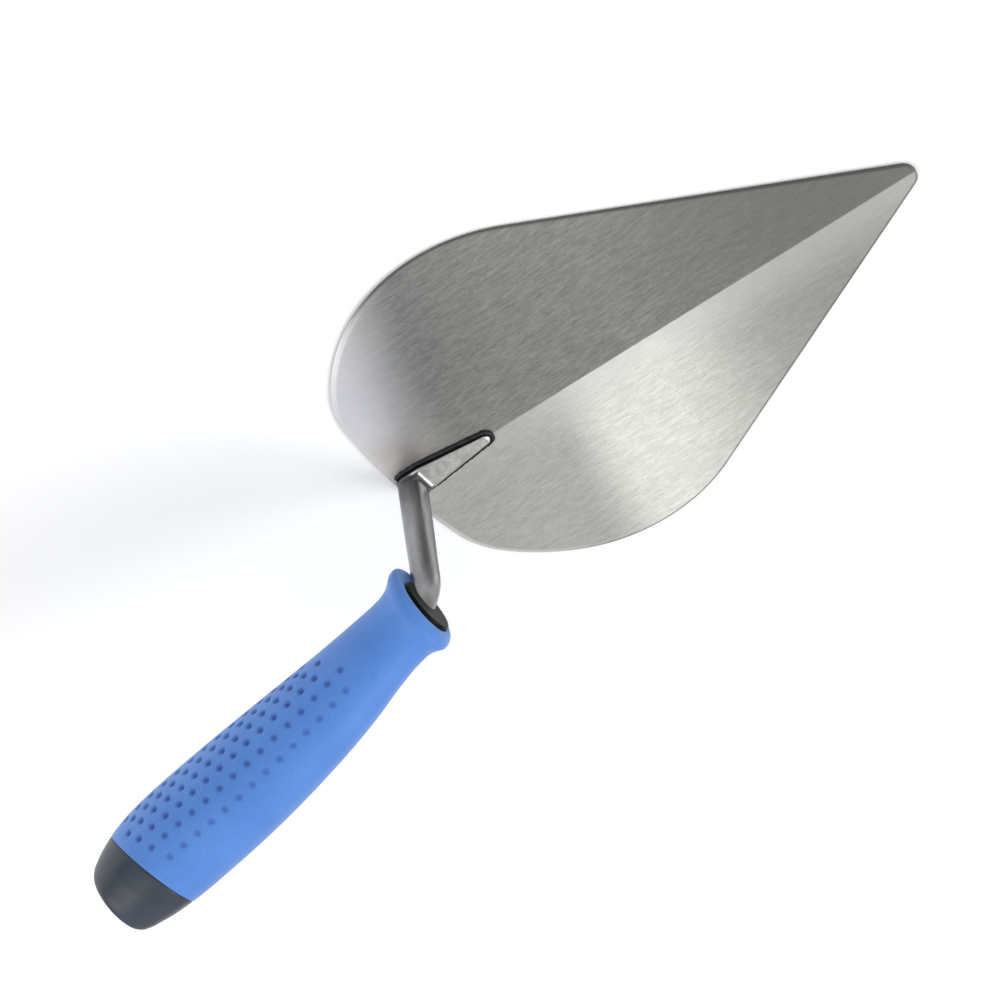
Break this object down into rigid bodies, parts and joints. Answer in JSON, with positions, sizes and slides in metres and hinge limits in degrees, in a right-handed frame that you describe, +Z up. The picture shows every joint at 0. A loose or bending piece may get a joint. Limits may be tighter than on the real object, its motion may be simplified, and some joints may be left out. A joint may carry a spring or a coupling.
{
  "type": "brick trowel",
  "caption": "Brick trowel with a heart-shaped ridged steel blade, a cranked welded tang and a soft-grip handle with a hard butt.",
  "frame": {"origin": "on the blade's flat underside, on the centre line, below the blade's widest section, 60 mm in front of the heel", "axes": "+X forward to the blade's tip, +Z up to the side that carries the tang and handle, +Y to the left; mirror plane Y = 0"},
  "size_m": [0.321, 0.14, 0.1251],
  "materials": {
    "blade_steel": "fine ground steel, lengthwise and diagonal grain, bare",
    "tang_steel": "forged steel, tumbled and oiled, darker than the blade",
    "weld_steel": "dark heat-blackened weld",
    "core_plastic": "dark grey hard plastic, semi-gloss",
    "grip_rubber": "blue soft grip, satin, dimpled flanks"
  },
  "bodies": {
    "root": {"blade": "blade_steel", "tang": "tang_steel", "weld_bead": "weld_steel", "handle_core": "core_plastic", "grip_sleeve": "grip_rubber"}
  },
  "joints": []
}
